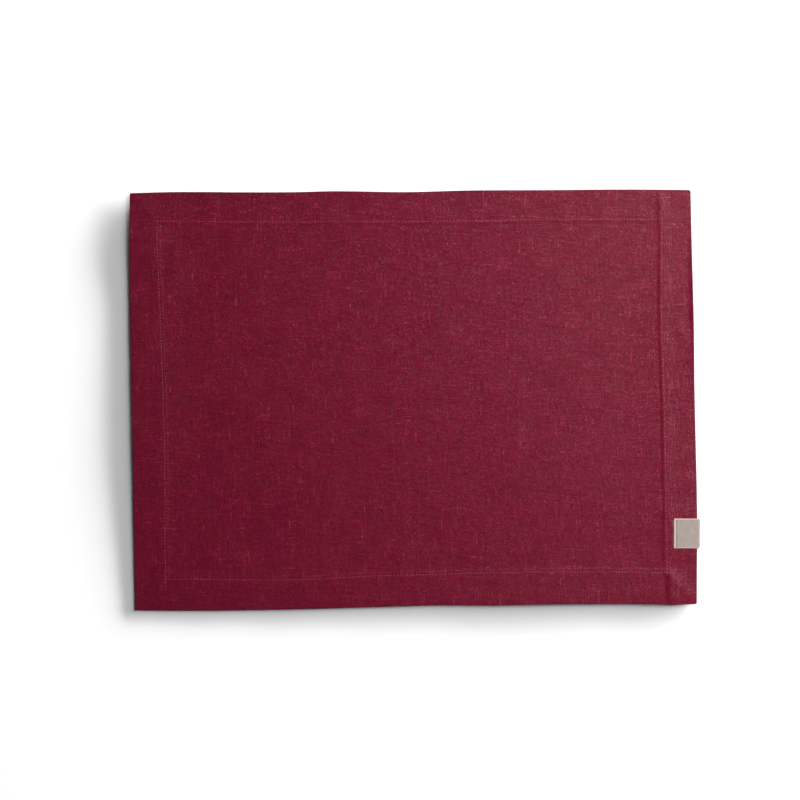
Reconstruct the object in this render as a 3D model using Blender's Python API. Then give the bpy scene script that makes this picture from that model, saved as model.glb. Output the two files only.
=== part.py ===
"""A hemmed linen placemat with a folded label sewn over its right edge.

Metres, +Z up. The mat lies flat, its long sides along X, and the origin is on the
surface it lies on, under the middle of the cloth and its label together.
"""

import math

import bmesh
import bpy
import numpy as np

MM = 0.001

# The finished cloth
MAT_WIDTH = 0.500
MAT_DEPTH = 0.370
MAT_MIDDLE = (-0.0012, -0.0010)  # the true rectangle's middle, seen from the origin
FIELD_THICK = 0.0010             # one layer
HEM_THICK = 0.0020               # three layers, because the hem is turned twice

# Each side of the cloth as it really runs, in millimetres, a row for each section of it:
# its place from the side's middle, how far the edge stands out from the true rectangle,
# and how far in from the edge the hem's inner fold lies.
SIDE_COLUMNS = ("along", "out", "hem")
TOP_SIDE = (
    (-250, 1.7, 27.5),
    (-215, 2.4, 28.0),
    (-145, 1.5, 28.5),
    (-100, 1.2, 28.7),
    (-74, 1.6, 28.9),
    (0, 0.1, 28.3),
    (50, 0.9, 29.2),
    (115, 0.5, 28.2),
    (200, 0.1, 28.4),
    (250, -0.9, 27.6),
)
BOTTOM_SIDE = (
    (-250, -0.3, 30.0),
    (-215, 0.4, 30.5),
    (-90, 0.1, 28.8),
    (-30, -1.0, 30.2),
    (15, -1.8, 29.8),
    (60, -1.2, 31.4),
    (150, -1.4, 31.2),
    (210, -0.5, 31.2),
    (230, 0.3, 31.4),
    (250, -0.3, 30.8),
)
LEFT_SIDE = (
    (-185, 0.0, 29.8),
    (-120, 0.1, 30.0),
    (-35, 0.4, 30.8),
    (25, 0.8, 30.0),
    (90, 1.4, 28.9),
    (140, 1.2, 27.2),
    (185, 0.2, 27.4),
)
RIGHT_SIDE = (
    (-185, 0.3, 29.0),
    (-145, 1.0, 29.4),
    (-100, 1.6, 30.3),
    (-35, 1.0, 30.0),
    (15, 0.4, 30.0),
    (60, 0.4, 31.0),
    (150, -0.7, 28.6),
    (185, -1.0, 27.6),
)
CORNER_RADII = {              # in millimetres, seen from above
    ("left", "bottom"): 1.2,
    ("right", "bottom"): 1.8,
    ("left", "top"): 1.4,
    ("right", "top"): 2.6,
}
CORNER_SHARE = 0.29           # how far a round corner draws back along each axis, by its radius

# The hem in section, a row for each grid line, from the outer edge inward: its share of
# the hem's width, how far it lies past the hem's inner fold, how much of the hem's extra
# thickness the upper face has there, and in millimetres how high the under face stands
# and how much the rolled edge takes off each face.
HEM_COLUMNS = ("share", "past", "fullness", "under", "roll")
HEM_SECTION = (
    (0.00, 0.0, 1.00, 0.00, 0.60),
    (0.02, 0.0, 1.00, 0.00, 0.12),
    (0.07, 0.0, 1.00, 0.00, 0.00),
    (0.22, 0.0, 1.00, 0.00, 0.00),
    (0.38, 0.0, 1.00, 0.00, 0.00),
    (0.54, 0.0, 1.00, 0.00, 0.00),
    (0.70, 0.0, 1.00, 0.00, 0.00),
    (0.86, 0.0, 1.00, 0.00, 0.00),
    (1.00, 0.0, 0.98, 0.00, 0.00),
    (1.00, 0.1, 0.93, 0.85, 0.00),
    (1.00, 0.9, 0.62, 0.60, 0.00),
    (1.00, 2.2, 0.14, 0.14, 0.00),
    (1.00, 4.0, 0.00, 0.00, 0.00),
)
FIELD_SPANS_ACROSS = 20       # grid spans between the hems, along X
FIELD_SPANS_DEEP = 15         # and along Y

# Where the cloth stands off the surface, in millimetres: the middle of each swell, how
# far it reaches along X and Y, and its height.
LIFT_COLUMNS = ("x", "y", "reach_x", "reach_y", "height")
LIFTS = (
    (-252, 165, 62, 80, 1.50),    # the left edge, by its upper corner
    (-252, 60, 60, 150, 1.10),    # the left edge, above its middle
    (-252, -60, 60, 130, 0.95),   # the left edge, below its middle
    (-170, -187, 120, 42, 0.30),  # the bottom edge, from left to right
    (-60, -187, 120, 42, 0.60),
    (40, -187, 120, 42, 0.75),
    (140, -187, 120, 42, 1.15),
    (228, -187, 70, 40, 0.85),    # the bottom right corner
    (-185, 188, 120, 38, 0.30),   # the top edge by its left corner
    (252, 45, 34, 90, 0.70),      # the right edge, above its middle
)

# The crease left by folding the mat in half for packing: its place from the middle, and
# its rise above the upper face, a row for each grid line across it. Millimetres.
FOLD_AT = -5.5
FOLD_COLUMNS = ("offset", "ridge")
FOLD_SECTION = ((-8, 0.0), (-4, 0.2), (0, 0.4), (4, 0.2), (8, 0.0))

# The label: a strip of tape folded round the cloth's right edge
LABEL_LENGTH = 0.0264         # along the edge
LABEL_DEPTH = 0.0231          # from the fold to the ends of its two leaves
LABEL_MIDDLE_Y = -0.1228
LABEL_FOLD_X = 0.2524         # the outside of the fold
LABEL_TURN = math.radians(-0.9)
TAPE_THICK = 0.0010
CLEARANCE = 0.0003            # between the tape and the cloth, on each face
LABEL_HEM_THICK = 0.0014      # the hem, pressed flat inside the label
LABEL_MARGIN = 0.0020         # the cloth stays level this far past the label
LABEL_EASE = 0.0170           # and comes back down over this far
LEAF_SPANS = 4
FOLD_SPANS = 8
LABEL_SECTIONS = 6

LINEN_COLOUR = (0.172, 0.0155, 0.0345, 1.0)
TAPE_COLOUR = (0.445, 0.376, 0.337, 1.0)


def clear_scene():
    for thing in list(bpy.data.objects):
        bpy.data.objects.remove(thing, do_unlink=True)


def matte(name, colour, roughness):
    """A plain woven finish."""
    material = bpy.data.materials.new(name)
    material.use_nodes = True
    shader = material.node_tree.nodes["Principled BSDF"]
    shader.inputs["Base Color"].default_value = colour
    shader.inputs["Roughness"].default_value = roughness
    shader.inputs["Metallic"].default_value = 0.0
    return material


def smooth_curve(places, values, at):
    """The value at one place on a smooth curve through a few others."""
    slopes = np.gradient(values, places)
    span = int(np.clip(np.searchsorted(places, at) - 1, 0, len(places) - 2))
    width = places[span + 1] - places[span]
    t = min(1.0, max(0.0, (at - places[span]) / width))
    return (
        (1 + 2 * t) * (1 - t) ** 2 * values[span]
        + t * (1 - t) ** 2 * width * slopes[span]
        + t**2 * (3 - 2 * t) * values[span + 1]
        - t**2 * (1 - t) * width * slopes[span + 1]
    )


def side_at(rows, at):
    """How far a side's edge stands out, and its hem's width, at a place along it."""
    side = {name: np.array(column, float) * MM for name, column in zip(SIDE_COLUMNS, zip(*rows))}
    return tuple(smooth_curve(side["along"], side[name], at) for name in ("out", "hem"))


def bell(distance, reach):
    """1 in the middle, falling softly to 0 at its reach."""
    if abs(distance) >= reach:
        return 0.0
    return math.cos(distance / reach * math.pi / 2) ** 2


def grid_lines(spans, ridges=()):
    """The lines of the grid from one side to the other: a hem, the field and a hem."""
    low = [dict(zip(HEM_COLUMNS, row), end="low", ridge=0.0) for row in HEM_SECTION]
    high = [dict(line, end="high") for line in reversed(low)]
    even = [(step / spans, 0.0) for step in range(1, spans)]
    flat = {"end": "field", "fullness": 0.0, "under": 0.0, "roll": 0.0}
    field = [dict(flat, part=part, ridge=ridge) for part, ridge in sorted([*even, *ridges])]
    return low + field + high


def fold_ridges():
    """The packing crease's grid lines: their part of the field's width, and their rise."""
    field_width = MAT_WIDTH / MM - 2 * (LEFT_SIDE[3][2] + HEM_SECTION[-1][1])
    folds = [dict(zip(FOLD_COLUMNS, row)) for row in FOLD_SECTION]
    return [(0.5 + (FOLD_AT + fold["offset"]) / field_width, fold["ridge"]) for fold in folds]


def place_of(line, low_edge, low_hem, high_edge, high_hem):
    """Where a grid line crosses, between the two edges it lies between."""
    inset = HEM_SECTION[-1][1] * MM
    if line["end"] == "low":
        return low_edge + line["share"] * low_hem + line["past"] * MM
    if line["end"] == "high":
        return high_edge - line["share"] * high_hem - line["past"] * MM
    start = low_edge + low_hem + inset
    return start + line["part"] * (high_edge - high_hem - inset - start)


def across(line, y):
    """The X of a line that runs from top to bottom, where it passes a Y."""
    left_out, left_hem = side_at(LEFT_SIDE, y)
    right_out, right_hem = side_at(RIGHT_SIDE, y)
    half = MAT_WIDTH / 2
    return place_of(line, -half - left_out, left_hem, half + right_out, right_hem)


def up_and_down(line, x):
    """The Y of a line that runs from left to right, where it passes an X."""
    bottom_out, bottom_hem = side_at(BOTTOM_SIDE, x)
    top_out, top_hem = side_at(TOP_SIDE, x)
    half = MAT_DEPTH / 2
    return place_of(line, -half - bottom_out, bottom_hem, half + top_out, top_hem)


def round_corner(x, y, column, row):
    """Draws a point near a corner back, so that the outline turns it in a small curve."""
    if column["end"] == "field" or row["end"] == "field":
        return x, y
    name = (
        "left" if column["end"] == "low" else "right",
        "bottom" if row["end"] == "low" else "top",
    )
    radius = CORNER_RADII[name] * MM
    hem_width = TOP_SIDE[0][2] * MM
    from_side = column["share"] * hem_width
    from_end = row["share"] * hem_width
    if from_side >= radius or from_end >= radius:
        return x, y
    back = CORNER_SHARE * radius * (1 - from_side / radius) * (1 - from_end / radius)
    return x - math.copysign(back, x), y - math.copysign(back, y)


def label_nearness(x, y, ease):
    """1 over the label, 0 further from it than ease. X and Y are from the mat's middle."""
    middle = LABEL_MIDDLE_Y - MAT_MIDDLE[1]
    left_end = LABEL_FOLD_X - LABEL_DEPTH - MAT_MIDDLE[0]
    past_end = max(0.0, left_end - LABEL_MARGIN - x)
    past_side = max(0.0, abs(y - middle) - LABEL_LENGTH / 2 - LABEL_MARGIN)
    return bell(math.hypot(past_end, past_side), ease)


def lift_at(x, y):
    """How far the cloth stands off the surface."""
    rise = 0.0
    for row in LIFTS:
        swell = dict(zip(LIFT_COLUMNS, (value * MM for value in row)))
        rise += (
            swell["height"]
            * bell(x - swell["x"], swell["reach_x"])
            * bell(y - swell["y"], swell["reach_y"])
        )
    over_leaf = TAPE_THICK + CLEARANCE
    return rise + over_leaf * label_nearness(x, y, LABEL_EASE)


def faces_at(x, y, column, row):
    """The heights of the cloth's upper and under face."""
    in_hem = [
        line["end"] != "field" and (line["share"] < 1 or line["past"] == 0)
        for line in (column, row)
    ]
    near_label = label_nearness(x, y, LABEL_EASE / 2)
    hem_thick = HEM_THICK - (HEM_THICK - LABEL_HEM_THICK) * near_label
    fullness = max(column["fullness"], row["fullness"])
    upper = FIELD_THICK + fullness * (hem_thick - FIELD_THICK)
    under = 0.0 if any(in_hem) else max(column["under"], row["under"]) * MM
    roll = max(column["roll"], row["roll"]) * MM * hem_thick / HEM_THICK
    lift = lift_at(x, y)
    return lift + upper + column["ridge"] * MM - roll, lift + under + roll


def make_cloth(material):
    """The cloth and its turned hem: two faces of one grid, joined round the edge."""
    columns = grid_lines(FIELD_SPANS_ACROSS, fold_ridges())
    rows = grid_lines(FIELD_SPANS_DEEP)
    shape = bmesh.new()
    upper, under = [], []
    for column in columns:
        upper.append([])
        under.append([])
        for row in rows:
            x = across(column, up_and_down(row, across(column, 0.0)))
            y = up_and_down(row, x)
            x, y = round_corner(x, y, column, row)
            high, low = faces_at(x, y, column, row)
            upper[-1].append(shape.verts.new((x, y, high)))
            under[-1].append(shape.verts.new((x, y, low)))
    for i in range(len(columns) - 1):
        for j in range(len(rows) - 1):
            shape.faces.new((upper[i][j], upper[i + 1][j], upper[i + 1][j + 1], upper[i][j + 1]))
            shape.faces.new((under[i][j], under[i][j + 1], under[i + 1][j + 1], under[i + 1][j]))
    close_round(shape, outline_of(upper), outline_of(under))
    bmesh.ops.recalc_face_normals(shape, faces=shape.faces)
    return as_object("cloth", shape, material)


def outline_of(grid):
    """The outer points of a grid, once round."""
    last = len(grid) - 1
    bottom = [column[0] for column in grid]
    right = grid[last][1:]
    top = [grid[i][-1] for i in range(last - 1, -1, -1)]
    left = grid[0][-2:0:-1]
    return bottom + right + top + left


def close_round(shape, one, other):
    """A band of faces between two closed outlines with as many points."""
    for k in range(len(one)):
        after = (k + 1) % len(one)
        shape.faces.new((one[k], other[k], other[after], one[after]))


def label_section():
    """The label's outer and inner line in section: (X, Z) from the lower leaf's end to the upper's."""
    height = 2 * TAPE_THICK + 2 * CLEARANCE + LABEL_HEM_THICK
    outer_radius = height / 2
    inner_radius = outer_radius - TAPE_THICK
    leaf = LABEL_DEPTH - outer_radius
    turns = [-math.pi / 2 + math.pi * step / FOLD_SPANS for step in range(FOLD_SPANS + 1)]
    steps = [leaf * (step / LEAF_SPANS - 1) for step in range(LEAF_SPANS)]
    lines = []
    for radius in (outer_radius, inner_radius):
        lower = [(x, outer_radius - radius) for x in steps]
        fold = [(radius * math.cos(a), outer_radius + radius * math.sin(a)) for a in turns]
        higher = [(x, outer_radius + radius) for x in reversed(steps)]
        lines.append([(x - outer_radius, z) for x, z in lower + fold + higher])
    return lines


def make_label(material):
    """The folded strip, the outside of its fold at X 0 and its middle at Y 0."""
    outer, inner = label_section()
    round_it = outer + inner[::-1]
    shape = bmesh.new()
    loops = []
    for section in range(LABEL_SECTIONS + 1):
        y = LABEL_LENGTH * (section / LABEL_SECTIONS - 0.5)
        loops.append([shape.verts.new((x, y, z)) for x, z in round_it])
    for near, far in zip(loops, loops[1:]):
        close_round(shape, near, far)
    count = len(outer)
    for loop in (loops[0], loops[-1]):
        inside = loop[:count - 1:-1]
        for k in range(count - 1):
            shape.faces.new((loop[k], loop[k + 1], inside[k + 1], inside[k]))
    bmesh.ops.recalc_face_normals(shape, faces=shape.faces)
    return as_object("label", shape, material)


def as_object(name, shape, material):
    """A named object of a finished shape."""
    mesh = bpy.data.meshes.new(name)
    shape.to_mesh(mesh)
    shape.free()
    mesh.materials.append(material)
    mesh.shade_smooth()
    mesh.set_sharp_from_angle(angle=math.radians(35))
    thing = bpy.data.objects.new(name, mesh)
    bpy.context.scene.collection.objects.link(thing)
    return thing


def main():
    clear_scene()
    placemat = bpy.data.objects.new("placemat", None)
    bpy.context.scene.collection.objects.link(placemat)
    cloth = make_cloth(matte("wine linen", LINEN_COLOUR, 0.9))
    cloth.location = (*MAT_MIDDLE, 0.0)
    label = make_label(matte("greige tape", TAPE_COLOUR, 0.85))
    label.location = (LABEL_FOLD_X, LABEL_MIDDLE_Y, 0.0)
    label.rotation_euler = (0.0, 0.0, LABEL_TURN)
    for piece in (cloth, label):
        piece.parent = placemat


main()
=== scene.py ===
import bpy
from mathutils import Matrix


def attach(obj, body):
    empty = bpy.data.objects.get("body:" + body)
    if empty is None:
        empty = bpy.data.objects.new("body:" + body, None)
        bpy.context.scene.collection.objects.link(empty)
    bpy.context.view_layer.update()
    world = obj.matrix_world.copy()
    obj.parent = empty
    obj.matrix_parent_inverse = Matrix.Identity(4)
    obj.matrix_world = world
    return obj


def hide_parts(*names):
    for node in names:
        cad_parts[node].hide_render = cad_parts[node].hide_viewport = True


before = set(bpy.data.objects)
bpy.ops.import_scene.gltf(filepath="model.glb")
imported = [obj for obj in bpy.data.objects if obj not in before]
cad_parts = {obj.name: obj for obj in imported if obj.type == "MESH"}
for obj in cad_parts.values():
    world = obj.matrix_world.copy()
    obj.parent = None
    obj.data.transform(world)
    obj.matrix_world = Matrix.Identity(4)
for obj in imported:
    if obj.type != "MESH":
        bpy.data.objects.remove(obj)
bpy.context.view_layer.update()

import math

import bpy
import numpy as np

mm = 0.001

# What a user would change on the cloth, in metres unless the name says otherwise
clothLook = {
    "width": 0.500,
    "depth": 0.370,
    "middle": (-0.0012, -0.0010),  # the true rectangle's middle in the frame
    "linen": 0.00036,  # one layer
    "fieldLevel": 0.00032,  # middle of the lowest layer above the table
    "tuckLevel": 0.00070,  # middle of the turned-in layer inside the hem
    "rimRadius": 0.00040,  # how far the rolled edge stands out
    "foldRadius": 0.00019,  # the hem's inner fold
    "rimInset": 0.00075,  # where the roll starts, in from the edge
    "hemWidth": 29 * mm,  # about, as sideRows has it in full
    "foldBlend": 0.7 * mm,  # how softly two hems' inner folds meet
    "mitreGap": 0.00012,  # between the two hems that meet in a corner
    "mitreOpens": (1.5 * mm, 3 * mm),  # how far in from the edge that gap opens
    "cornerReach": 60 * mm,  # how far a corner draws the turned layers with it
    "fieldSpansAcross": 130,
    "fieldSpansDeep": 92,
    "edgeStepsMm": (0.75, 1.2, 2.0, 3.2, 5.0, 7.5, 10.5, 13.5, 16.5, 19.0),
    "foldStepsMm": (
        -7.5, -5.8, -4.6, -3.8, -3.2, -2.7, -2.2, -1.7, -1.2, -0.7, -0.2,
        0.2, 0.6, 1.0, 1.5, 2.1, 3.0, 4.4, 6.5,
    ),
    "underParts": (0.15, 0.4, 0.65, 0.85, 1.0),  # rows of the under layer, rim to fold
    "underStepsMm": (4.2, 3.2, 2.4, 1.6),  # and its last rows before the fold
    "tuckStepsMm": (4.0, 7.0, 10.0),  # rows of the turned-in layer
    "rimPoints": 6,  # round the rolled edge
    "foldPoints": 5,  # and round the inner fold
    "gridRounds": 4,  # rounds in which the grid's places settle between bowed sides
    "hemRounds": 6,  # and those of the turned layers
}

# Each side as it really runs, in millimetres: place along it, how far the edge stands out
# from the true rectangle, and how far in the hem's inner fold lies
sideRows = {
    "top": (
        (-250, 1.7, 27.5), (-215, 2.4, 28.0), (-145, 1.5, 28.5), (-100, 1.2, 28.7),
        (-74, 1.6, 28.9), (0, 0.1, 28.3), (50, 0.9, 29.2), (115, 0.5, 28.2),
        (200, 0.1, 28.4), (250, -0.9, 27.6),
    ),
    "bottom": (
        (-250, -0.3, 30.0), (-215, 0.4, 30.5), (-90, 0.1, 28.8), (-30, -1.0, 30.2),
        (15, -1.8, 29.8), (60, -1.2, 31.4), (150, -1.4, 31.2), (210, -0.5, 31.2),
        (230, 0.3, 31.4), (250, -0.3, 30.8),
    ),
    "left": (
        (-185, 0.0, 29.8), (-120, 0.1, 30.0), (-35, 0.4, 30.8), (25, 0.8, 30.0),
        (90, 1.4, 28.9), (140, 1.2, 27.2), (185, 0.2, 27.4),
    ),
    "right": (
        (-185, 0.3, 29.0), (-145, 1.0, 29.4), (-100, 1.6, 30.3), (-35, 1.0, 30.0),
        (15, 0.4, 30.0), (60, 0.4, 31.0), (150, -0.7, 28.6), (185, -1.0, 27.6),
    ),
}

sideSense = {"left": (0, -1), "right": (0, 1), "bottom": (1, -1), "top": (1, 1)}


def smoothCurve(places, values, at):
    # the value on a smooth curve through a few points, held level past its ends
    slopes = np.gradient(values, places)
    span = np.clip(np.searchsorted(places, at) - 1, 0, len(places) - 2)
    width = places[span + 1] - places[span]
    t = np.clip((at - places[span]) / width, 0.0, 1.0)
    return (
        (1 + 2 * t) * (1 - t) ** 2 * values[span]
        + t * (1 - t) ** 2 * width * slopes[span]
        + t**2 * (3 - 2 * t) * values[span + 1]
        - t**2 * (1 - t) * width * slopes[span + 1]
    )


def section(rows, at):
    places, values = (np.array(column) * mm for column in zip(*rows))
    return smoothCurve(places, values, at)


def bell(distance, reach):
    # 1 in the middle, falling softly to 0 at its reach
    return np.cos(np.clip(np.abs(distance) / reach, 0.0, 1.0) * np.pi / 2) ** 2


def easeStep(value, low, high):
    t = np.clip((value - low) / (high - low), 0.0, 1.0)
    return t * t * (3 - 2 * t)


def reachOf(side, along):
    # how far a side's edge lies from the middle, and its hem's width, at places along it
    places, out, hem = (np.array(column, float) * mm for column in zip(*sideRows[side]))
    half = clothLook["width" if sideSense[side][0] == 0 else "depth"] / 2
    return half + smoothCurve(places, out, along), smoothCurve(places, hem, along)


def depthFrom(side, x, y):
    # how far in from a side's edge, its hem's width there, and the place along it
    axis, sense = sideSense[side]
    across, along = (x, y) if axis == 0 else (y, x)
    edge, hem = reachOf(side, along)
    return edge - sense * across, hem, along


def neighboursOf(side):
    return ("bottom", "top") if sideSense[side][0] == 0 else ("left", "right")


def labelNearness(x, y):
    # 1 at the label, 0 where the cloth has come down from its lower leaf
    middleX, middleY = clothLook["middle"]
    leftEnd = labelLook["foldX"] - labelLook["reach"] - middleX
    pastEnd = np.maximum(0.0, leftEnd - labelLook["margin"] - x)
    halfAlong = labelLook["along"] / 2 + labelLook["margin"]
    pastSide = np.maximum(0.0, np.abs(y - labelLook["middleY"] + middleY) - halfAlong)
    return bell(np.hypot(pastEnd, pastSide), labelLook["ease"])


# Where the whole cloth stands off the table, in millimetres: middle, reach each way, height
liftRows = (
    (-252, 165, 62, 80, 1.50),  # left edge, by its upper corner
    (-252, 60, 60, 150, 1.10),  # left edge, above its middle
    (-252, -60, 60, 130, 0.95),  # left edge, below its middle
    (-170, -187, 120, 42, 0.30),  # bottom edge, from left to right
    (-60, -187, 120, 42, 0.60),
    (40, -187, 120, 42, 0.75),
    (140, -187, 120, 42, 1.15),
    (228, -187, 70, 40, 0.85),  # bottom right corner
    (-185, 188, 120, 38, 0.30),  # top edge by its left corner
    (252, 45, 34, 90, 0.70),  # right edge, above its middle
    (253.5, 84, 8, 110, 1.90),  # the curled lip of the same edge
)


def liftAt(x, y):
    # how far every layer of the cloth stands off the table
    rise = np.zeros(np.shape(x))
    for row in liftRows:
        middleX, middleY, reachX, reachY, height = (value * mm for value in row)
        rise = rise + height * bell(x - middleX, reachX) * bell(y - middleY, reachY)
    underLeaf = labelLook["tape"] + labelLook["table"] + labelLook["air"]
    return rise + underLeaf * labelNearness(x, y)


# Creases placed on the upper layer, in millimetres from the cloth's middle: the
# line each one follows, how far it reaches to the left and right of that way, its height
creaseRows = (
    (((-210.5, 152), (-210.3, 122), (-210.2, 92)), 3.0, 9.0, 0.32),  # upright, upper left
    (((-236, 102), (-221, 102.4), (-205, 101.4)), 6.0, 3.0, 0.40),  # short, across the left hem
    (((-248, 185), (-226, 161.5)), 4.0, 3.0, 0.36),  # top left mitre
    (((-247, -182), (-220, -155)), 3.0, 3.0, 0.16),  # bottom left mitre
    (((221.6, 184), (220.8, 168), (220.4, 146)), 12.0, 3.2, 0.52),  # right hem's step, carried up
    (((222.9, 170), (221.7, 110), (221.2, 60), (222.4, 0)), 9.0, 3.2, 0.34),  # and on down
    (((221.4, 72), (222.6, 0), (223.2, -50), (223.5, -152)), 9.0, 3.2, 0.30),
    (((219.8, 170.5), (219.8, 164.5)), 1.9, 1.9, -0.25),  # dimple beside it
    (((221, 64), (237.2, 57), (244.2, 46), (246.5, 26)), 11.0, 2.6, 0.50),
    (((196, -130), (217, -151.5)), 10.0, 2.8, 0.42),  # towards the label's corner
    (((216, -149), (228.5, -162), (235, -168.5), (249, -184)), 7.5, 3.6, 0.62),
    (((227.2, -150), (227.6, -187)), 12.0, 6.5, 1.00),  # swell beside the mitre
    (((223.9, -175), (225.8, -184)), 2.5, 1.3, 0.16),
    (((-2.4, 186), (-3.6, 126), (-5, 84)), 8.0, 3.0, 0.26),  # packing fold, far part
    (((-5.4, 70), (-7.4, 10), (-8.8, -42)), 8.0, 3.4, 0.11),  # its middle
    (((-9.2, -44), (-10.3, -110), (-11.4, -186)), 8.0, 3.0, 0.22),  # its near part
)


creaseFade = 0.35  # share of its length over which a crease comes up or dies away


def creaseAt(x, y, points, leftReach, rightReach, height):
    # a soft ridge along a given line, or a trough where its height is below 0
    points = np.array(points) * mm
    lengths = np.hypot(*np.diff(points, axis=0).T)
    nearest = np.full(np.shape(x), 1.0)
    turn = np.zeros(np.shape(x))
    run = np.zeros(np.shape(x))
    for start, end, before, length in zip(points, points[1:], np.cumsum(lengths) - lengths, lengths):
        way = (end - start) / length
        t = np.clip((x - start[0]) * way[0] + (y - start[1]) * way[1], 0.0, length)
        distance = np.hypot(x - start[0] - t * way[0], y - start[1] - t * way[1])
        nearer = distance < nearest
        nearest = np.where(nearer, distance, nearest)
        turn = np.where(nearer, way[0] * (y - start[1]) - way[1] * (x - start[0]), turn)
        run = np.where(nearer, before + t, run)
    reach = np.where(turn > 0, leftReach, rightReach) * mm
    total = lengths.sum()
    fade = easeStep(run, 0.0, creaseFade * total) * easeStep(total - run, 0.0, creaseFade * total)
    return height * mm * bell(nearest, reach) * fade


# Long shallow waves that linen keeps after ironing
waveLook = {"seed": 7, "count": 22, "lengthsMm": (26.0, 150.0), "slope": 0.0022, "rounding": 0.00004}


def wavesAt(x, y):
    chance = np.random.default_rng(waveLook["seed"])
    shortest, longest = np.array(waveLook["lengthsMm"]) * mm
    rise = np.zeros(np.shape(x))
    for _ in range(waveLook["count"]):
        length = shortest * (longest / shortest) ** chance.random()
        heading = chance.random() * math.tau
        phase = chance.random() * math.tau
        height = waveLook["slope"] * length / math.tau
        across = (x * math.cos(heading) + y * math.sin(heading)) / length
        rise = rise + height * np.sin(across * math.tau + phase)
    return (rise + np.hypot(rise, waveLook["rounding"])) / 2


# The hem seam: how far outside the inner fold it runs, and how far it runs on past the
# seams it meets at its low and high end, all in millimetres
seamRows = {
    "top": (2.0, 0.0, 0.0),
    "bottom": (2.2, 0.0, 3.0),
    "left": (2.0, 9.0, 0.0),
    "right": (2.7, 0.0, 4.0),
}

# How the hem seam draws the cloth down, now more and now less along its way
seamLook = {
    "dip": 0.13 * mm,
    "reach": 1.1 * mm,
    "unevenness": 0.35,
    "unevenMm": (11.3, 7.9),
    "endsEase": (2 * mm, 1 * mm),
    "points": 140,
}

# The upper layer in section: millimetres past the hem's inner fold, and its rise there
hemSection = (
    (-18.0, 0.60), (-14.0, 0.60), (-12.0, 0.61), (-10.6, 0.65), (-9.4, 0.73), (-8.2, 0.76),
    (-6.0, 0.76), (-3.6, 0.76), (-2.2, 0.77), (-0.9, 0.78), (-0.2, 0.76), (0.4, 0.69),
    (0.9, 0.61), (1.4, 0.55), (2.0, 0.51), (2.8, 0.49), (5.0, 0.46), (9.0, 0.39),
    (14.0, 0.29), (20.0, 0.17), (27.0, 0.06), (34.0, 0.0), (40.0, 0.0),
)

rollSection = ((0.4, -0.05), (0.8, -0.04), (1.3, -0.02), (2.2, -0.005), (3.4, 0.0), (4.6, 0.0))


def topHeight(x, y):
    # the middle of the upper layer: field, hem, seam dips, creases and waves
    blend, look = clothLook["foldBlend"], seamLook
    easeBefore, easePast = look["endsEase"]
    nearness = np.zeros(np.shape(x))
    dips = np.zeros(np.shape(x))
    edgeDepth = np.full(np.shape(x), 1.0)
    for side in sideSense:
        depth, hem, along = depthFrom(side, x, y)
        nearness = nearness + np.exp(-(depth - hem) / blend)
        edgeDepth = np.minimum(edgeDepth, depth)
        inset, *overruns = (value * mm for value in seamRows[side])
        pull = np.ones(np.shape(x))
        for other, overrun in zip(neighboursOf(side), overruns):
            otherDepth, otherHem, _ = depthFrom(other, x, y)
            lineEnd = otherHem - seamRows[other][0] * mm - overrun
            pull = pull * easeStep(otherDepth, lineEnd - easeBefore, lineEnd + easePast)
        slow, quick = (np.sin(along / (length * mm) * math.tau) for length in look["unevenMm"])
        pull = pull * (1 + look["unevenness"] * slow * quick) * bell(depth - hem + inset, look["reach"])
        dips = np.maximum(dips, pull)
    past = -blend * np.log(nearness)
    rise = section(hemSection, past) + section(rollSection, edgeDepth) - look["dip"] * dips
    for crease in creaseRows:
        rise = rise + creaseAt(x, y, *crease)
    return clothLook["fieldLevel"] + rise + wavesAt(x, y) + liftAt(x, y)


cornerRadiiMm = {
    ("left", "bottom"): 1.2,
    ("right", "bottom"): 1.8,
    ("left", "top"): 1.4,
    ("right", "top"): 2.6,
}


def roundCorners(x, y, depths):
    # draws points near a corner back, so that the outline turns it in a quarter circle; a side
    # that depths leaves out is far away
    for (sideX, sideY), radius in cornerRadiiMm.items():
        radius = radius * mm
        acrossX = np.clip(1 - depths.get(sideX, 1.0) / radius, 0.0, 1.0)
        acrossY = np.clip(1 - depths.get(sideY, 1.0) / radius, 0.0, 1.0)
        x = x - sideSense[sideX][1] * radius * acrossX * (1 - np.sqrt(1 - acrossY**2 / 2))
        y = y - sideSense[sideY][1] * radius * acrossY * (1 - np.sqrt(1 - acrossX**2 / 2))
    return x, y


def gridStations(spans):
    # the grid's lines from one side to the other: share of the way across, part of the
    # hem's width, and millimetres further in
    nearEdge = [(0.0, 0.0, step) for step in clothLook["edgeStepsMm"]]
    nearFold = [(0.0, 1.0, step) for step in clothLook["foldStepsMm"]]
    low = nearEdge + nearFold
    field = [(number / spans, 1.0, low[-1][2]) for number in range(1, spans)]
    high = [(1.0, hemPart, step) for _, hemPart, step in reversed(low)]
    return np.array(low + field + high).T


def spread(stations, lowSide, highSide, along):
    share, hemPart, step = stations
    lowEdge, lowHem = reachOf(lowSide, along)
    highEdge, highHem = reachOf(highSide, along)
    fromLow = -lowEdge + hemPart * lowHem + step * mm
    fromHigh = highEdge - hemPart * highHem - step * mm
    return (1 - share) * fromLow + share * fromHigh


def clothGrid():
    columns = gridStations(clothLook["fieldSpansAcross"])[:, :, None]
    rows = gridStations(clothLook["fieldSpansDeep"])[:, None, :]
    x = np.zeros((columns.shape[1], rows.shape[2]))
    y = np.zeros_like(x)
    for _ in range(clothLook["gridRounds"]):
        x = spread(columns, "left", "right", y)
        y = spread(rows, "bottom", "top", x)
    return x, y


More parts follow.
